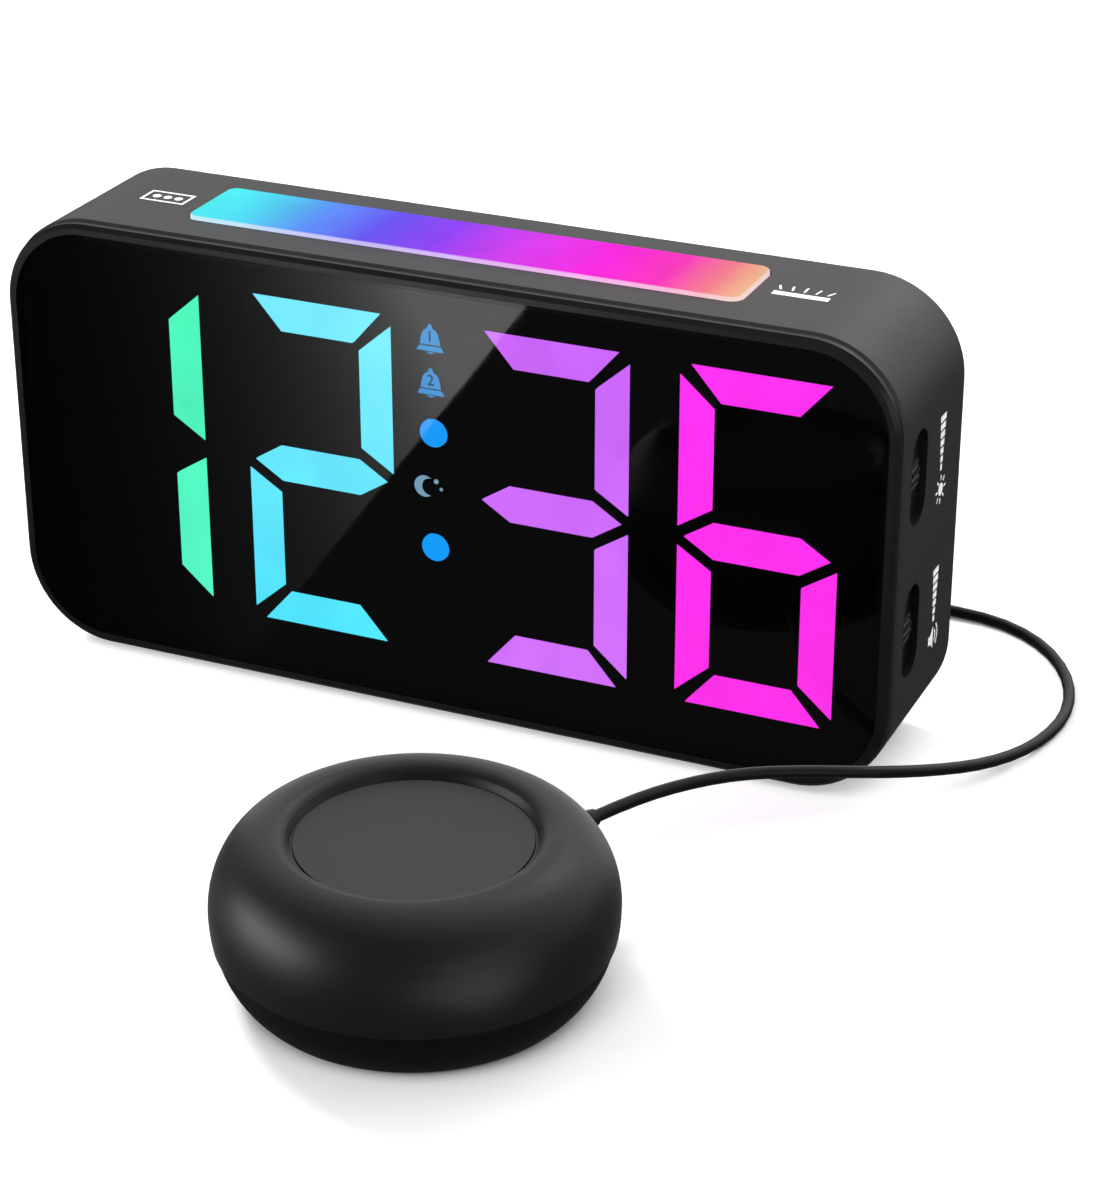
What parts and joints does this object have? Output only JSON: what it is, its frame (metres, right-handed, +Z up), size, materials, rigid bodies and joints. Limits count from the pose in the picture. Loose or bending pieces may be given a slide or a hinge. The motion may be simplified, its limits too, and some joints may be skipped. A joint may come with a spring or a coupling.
{
  "type": "bed shaker alarm clock",
  "caption": "Table alarm clock with a large colour figure display in a rounded sleeve, a light bar key on top, side thumbwheels, and a round bed shaker on a cord.",
  "frame": {"origin": "on the table under the middle of the clock's base pad", "axes": "+X along the clock's width to the viewer's right, +Y to its back, +Z up"},
  "size_m": [0.1791, 0.1788, 0.0802],
  "materials": {
    "sleeve_plastic": "fine moulded matt, dark grey",
    "bezel_plastic": "satin, near black",
    "smoked_lens": "polished, smoked",
    "cell_plastic": "matt black",
    "green_light": "lit, green",
    "cyan_light": "lit, light blue",
    "purple_light": "lit, purple",
    "magenta_light": "lit, magenta",
    "blue_light": "lit, blue",
    "dark_guide": "unlit, black",
    "bar_diffuser": "translucent, lit in a run of colours",
    "white_plastic": "matt white",
    "black_plastic": "matt black",
    "board_laminate": "green solder mask",
    "chip_epoxy": "matt black",
    "steel": "zinc plated",
    "magnet_steel": "plated",
    "brass_weight": "turned",
    "paper_cone": "pressed paper",
    "rubber_pad": "matt black",
    "soft_touch": "soft-touch satin, black",
    "inlay_plastic": "matt dark grey",
    "cord_jacket": "smooth jacket, black",
    "tie_band": "matt black"
  },
  "bodies": {
    "clock": {"housing_sleeve": "sleeve_plastic", "base_pad": "rubber_pad", "front_bezel": "bezel_plastic", "display_lens": "smoked_lens", "digit_reflector": "cell_plastic", "hour_tens_figure": "green_light", "hour_units_figure": "cyan_light", "minute_tens_figure": "purple_light", "minute_units_figure": "magenta_light", "dark_segments": "dark_guide", "colon_dots": "blue_light", "display_board": "board_laminate", "light_tray": "white_plastic", "strip_board": "board_laminate", "strip_leds": "white_plastic", "bar_switches": "black_plastic", "wheel_pots": "black_plastic", "rear_cover": "black_plastic", "cover_screws": "steel", "main_board": "board_laminate", "board_screws": "steel", "main_chips": "chip_epoxy", "button_switches": "black_plastic", "mode_switch": "black_plastic", "power_jack": "black_plastic", "shaker_jack": "black_plastic", "cell_holder": "black_plastic", "coin_cell": "steel", "speaker_frame": "black_plastic", "speaker_cone": "paper_cone", "speaker_magnet": "magnet_steel", "puck_top_shell": "soft_touch", "puck_inlay": "inlay_plastic", "puck_bottom_shell": "soft_touch", "puck_foot_ring": "rubber_pad", "puck_screws": "steel", "shaker_motor": "magnet_steel", "motor_clamp": "steel", "clamp_screws": "steel", "cord_grommet": "cord_jacket", "shaker_plug": "cord_jacket", "cord_run": "cord_jacket", "cord_coil": "cord_jacket", "cord_lead": "cord_jacket", "cord_tie": "tie_band"},
    "light_bar": {"light_bar": "bar_diffuser"},
    "dimmer_wheel": {"dimmer_wheel": "black_plastic"},
    "volume_wheel": {"volume_wheel": "black_plastic"},
    "time_button": {"time_button": "black_plastic"},
    "alarm_one_button": {"alarm_one_button": "black_plastic"},
    "alarm_two_button": {"alarm_two_button": "black_plastic"},
    "minus_button": {"minus_button": "black_plastic"},
    "plus_button": {"plus_button": "black_plastic"},
    "mode_slider": {"mode_slider": "black_plastic"},
    "battery_door": {"battery_door": "black_plastic"},
    "eccentric_weight": {"eccentric_weight": "brass_weight"}
  },
  "joints": [
    {"name": "light_bar_press", "type": "slide", "parent": "clock", "child": "light_bar", "axis": [0, 0, -1], "range_m": [0, 0.0008], "stiffness_N_per_m": 2500},
    {"name": "dimmer_wheel_turn", "type": "hinge", "parent": "clock", "child": "dimmer_wheel", "pos_m": [0.0726, -0.0067, 0.0552], "axis": [0, 1, 0], "range_deg": [-135, 135]},
    {"name": "volume_wheel_turn", "type": "hinge", "parent": "clock", "child": "volume_wheel", "pos_m": [0.0726, -0.0067, 0.0284], "axis": [0, 1, 0], "range_deg": [-135, 135]},
    {"name": "time_button_press", "type": "slide", "parent": "clock", "child": "time_button", "axis": [0, -1, 0], "range_m": [0, 0.0008], "stiffness_N_per_m": 1500},
    {"name": "alarm_one_button_press", "type": "slide", "parent": "clock", "child": "alarm_one_button", "axis": [0, -1, 0], "range_m": [0, 0.0008], "stiffness_N_per_m": 1500},
    {"name": "alarm_two_button_press", "type": "slide", "parent": "clock", "child": "alarm_two_button", "axis": [0, -1, 0], "range_m": [0, 0.0008], "stiffness_N_per_m": 1500},
    {"name": "minus_button_press", "type": "slide", "parent": "clock", "child": "minus_button", "axis": [0, -1, 0], "range_m": [0, 0.0008], "stiffness_N_per_m": 1500},
    {"name": "plus_button_press", "type": "slide", "parent": "clock", "child": "plus_button", "axis": [0, -1, 0], "range_m": [0, 0.0008], "stiffness_N_per_m": 1500},
    {"name": "mode_shift", "type": "slide", "parent": "clock", "child": "mode_slider", "axis": [1, 0, 0], "range_m": [-0.003, 0.003]},
    {"name": "battery_door_pull", "type": "slide", "parent": "clock", "child": "battery_door", "axis": [0, 1, 0], "range_m": [0, 0.02]},
    {"name": "weight_spin", "type": "hinge", "parent": "clock", "child": "eccentric_weight", "pos_m": [0.033, -0.091, 0.011], "axis": [1, 0, 0], "continuous": true}
  ]
}
